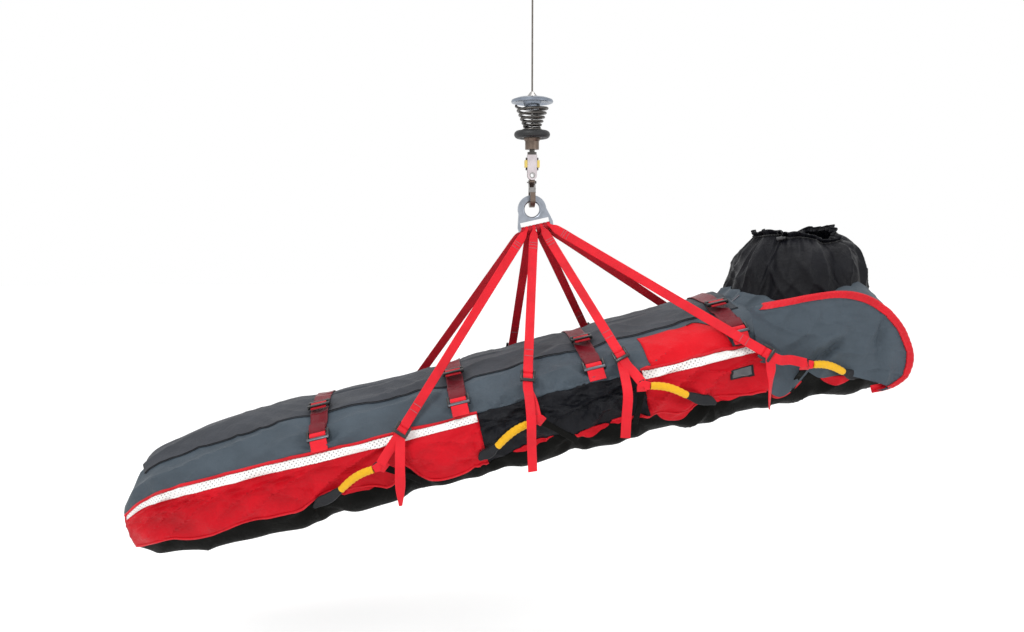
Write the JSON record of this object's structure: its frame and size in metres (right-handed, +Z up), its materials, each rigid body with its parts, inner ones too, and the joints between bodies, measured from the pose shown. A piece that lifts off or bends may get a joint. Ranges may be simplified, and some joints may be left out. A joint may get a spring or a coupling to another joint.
{
  "type": "rescue stretcher",
  "caption": "Helicopter rescue stretcher bag with drawstring hood, carrying grips and a webbing sling, hung from a swivel hoist hook with a sprung bumper",
  "frame": {"origin": "Centre of the eye at the top of the hoist wire, which holds the whole part.", "axes": "+Z up along the hoist wire, +X along the bag from foot to head, +Y across the bag to its far side."},
  "size_m": [2.1821, 0.6632, 1.605],
  "materials": {
    "bare_steel": "satin",
    "dark_steel": "satin",
    "bronze_steel": "satin",
    "bumper_alloy": "satin",
    "link_alloy": "satin",
    "hand_rubber": "matte",
    "block_paint": "satin",
    "cheek_yellow": "matte",
    "sling_red": "satin",
    "sling_dark_red": "satin",
    "strap_red": "satin",
    "buckle_metal": "satin",
    "grip_yellow": "matte",
    "base_black": "matte",
    "panel_red": "satin",
    "mesh_grey": "satin",
    "slate_fabric": "matte",
    "flap_charcoal": "matte",
    "binding_red": "satin",
    "tape_white": "gloss",
    "patch_grey": "matte",
    "hood_fabric": "satin",
    "zip_black": "matte",
    "mattress_cover": "satin",
    "board_plastic": "matte",
    "cord_black": "matte"
  },
  "bodies": {
    "hoist_line": {"hoist_top_eye": "bare_steel", "hoist_wire_rope": "bare_steel", "wire_end_terminal": "bare_steel", "hand_ring_hub": "dark_steel", "rubber_hand_ring": "hand_rubber", "swivel_housing": "bronze_steel", "thrust_race_and_balls": "bare_steel", "bumper_spring": "dark_steel"},
    "bumper": {"bumper_cone": "bare_steel", "bumper_disc": "bumper_alloy"},
    "swivel": {"swivel_bolt": "dark_steel", "thrust_race_upper": "bare_steel", "swivel_block": "block_paint", "block_cheeks": "cheek_yellow", "cheek_bolts": "dark_steel", "hook_pin": "bare_steel"},
    "hook": {"hoist_hook": "bronze_steel", "gate_pin": "bare_steel", "gate_spring": "dark_steel"},
    "gate": {"hook_gate": "bare_steel"},
    "zip_slider": {"zip_slider": "zip_black"},
    "zip_pull": {"zip_pull": "zip_black"},
    "cord_lock_plunger": {"cord_lock_plunger": "zip_black"},
    "tail_near_1": {"strap_tail_near_1": "sling_red"},
    "tail_near_2": {"strap_tail_near_2": "sling_red"},
    "tail_near_3": {"strap_tail_near_3": "sling_red"},
    "tail_near_4": {"strap_tail_near_4": "sling_red"},
    "tail_far_1": {"strap_tail_far_1": "sling_dark_red"},
    "tail_far_2": {"strap_tail_far_2": "sling_dark_red"},
    "tail_far_3": {"strap_tail_far_3": "sling_dark_red"},
    "tail_far_4": {"strap_tail_far_4": "sling_dark_red"},
    "stretcher": {"base_tub": "base_black", "blank_patch": "patch_grey", "carry_grips": "grip_yellow", "carry_loops": "sling_red", "collar_drawcord": "cord_black", "compression_straps": "strap_red", "cord_lock": "zip_black", "cord_lock_spring": "bare_steel", "head_collar": "hood_fabric", "head_end_panel": "slate_fabric", "head_side_panels": "slate_fabric", "leg_adjusters": "sling_red", "leg_buckles": "buckle_metal", "lower_ladder_locks": "buckle_metal", "master_link_plate": "link_alloy", "mesh_side_panels": "mesh_grey", "red_binding": "binding_red", "red_side_panels": "panel_red", "reflective_tapes": "tape_white", "sling_legs_far": "sling_dark_red", "sling_legs_near": "sling_red", "stiffener_board": "board_plastic", "strap_tabs": "strap_red", "top_panels": "slate_fabric", "upper_ladder_locks": "buckle_metal", "upper_pocket": "panel_red", "vacuum_mattress": "mattress_cover", "zip_chain": "zip_black", "zip_flap": "flap_charcoal"}
  },
  "joints": [
    {"name": "hook_swivel", "type": "hinge", "parent": "hoist_line", "child": "swivel", "pos_m": [0, 0, -0.475], "axis": [0, 0, 1], "continuous": true},
    {"name": "bumper_press", "type": "slide", "parent": "hoist_line", "child": "bumper", "axis": [0, 0, 1], "range_m": [-0.035, 0], "stiffness_N_per_m": 2000, "springref_m": 0.004, "deforming": ["bumper_spring"]},
    {"name": "hook_swing", "type": "hinge", "parent": "swivel", "child": "hook", "pos_m": [0, 0, -0.555], "axis": [0, 1, 0], "range_deg": [-25, 25]},
    {"name": "gate_open", "type": "hinge", "parent": "hook", "child": "gate", "pos_m": [0, 0.005, -0.574], "axis": [1, 0, 0], "range_deg": [0, 28], "stiffness_Nm_per_rad": 0.15, "springref_deg": -17.19},
    {"name": "link_rock", "type": "hinge", "parent": "hook", "child": "stretcher", "pos_m": [0, 0, -0.65], "axis": [0, 1, 0], "range_deg": [-18, 18]},
    {"name": "tail_near_1_swing", "type": "hinge", "parent": "stretcher", "child": "tail_near_1", "pos_m": [-0.36538, -0.28374, -1.218], "axis": [-1, 0, 0], "range_deg": [0, 60]},
    {"name": "tail_near_2_swing", "type": "hinge", "parent": "stretcher", "child": "tail_near_2", "pos_m": [-0.03693, -0.25543, -1.09063], "axis": [-1, 0, 0], "range_deg": [0, 60]},
    {"name": "tail_near_3_swing", "type": "hinge", "parent": "stretcher", "child": "tail_near_3", "pos_m": [0.20705, -0.27017, -1.03437], "axis": [-1, 0, 0], "range_deg": [0, 60]},
    {"name": "tail_near_4_swing", "type": "hinge", "parent": "stretcher", "child": "tail_near_4", "pos_m": [0.57824, -0.32899, -1.02417], "axis": [-1, 0, 0], "range_deg": [0, 60]},
    {"name": "tail_far_1_swing", "type": "hinge", "parent": "stretcher", "child": "tail_far_1", "pos_m": [-0.36516, 0.28383, -1.2181], "axis": [1, 0, 0], "range_deg": [0, 60]},
    {"name": "tail_far_2_swing", "type": "hinge", "parent": "stretcher", "child": "tail_far_2", "pos_m": [-0.03645, 0.2555, -1.09063], "axis": [1, 0, 0], "range_deg": [0, 60]},
    {"name": "tail_far_3_swing", "type": "hinge", "parent": "stretcher", "child": "tail_far_3", "pos_m": [0.20749, 0.27011, -1.03418], "axis": [1, 0, 0], "range_deg": [0, 60]},
    {"name": "tail_far_4_swing", "type": "hinge", "parent": "stretcher", "child": "tail_far_4", "pos_m": [0.5784, 0.3289, -1.024], "axis": [1, 0, 0], "range_deg": [0, 60]},
    {"name": "zip_slide", "type": "slide", "parent": "stretcher", "child": "zip_slider", "axis": [0.9697, 0, 0.2442], "range_m": [-0.95, 0]},
    {"name": "zip_pull_lift", "type": "hinge", "parent": "zip_slider", "child": "zip_pull", "pos_m": [0.50187, 0, -0.91726], "axis": [0, 1, 0], "range_deg": [0, 8]},
    {"name": "cord_lock_press", "type": "slide", "parent": "stretcher", "child": "cord_lock_plunger", "axis": [-0.7997, 0.5736, -0.1773], "range_m": [0, 0.003], "stiffness_N_per_m": 400, "springref_m": -0.002}
  ]
}
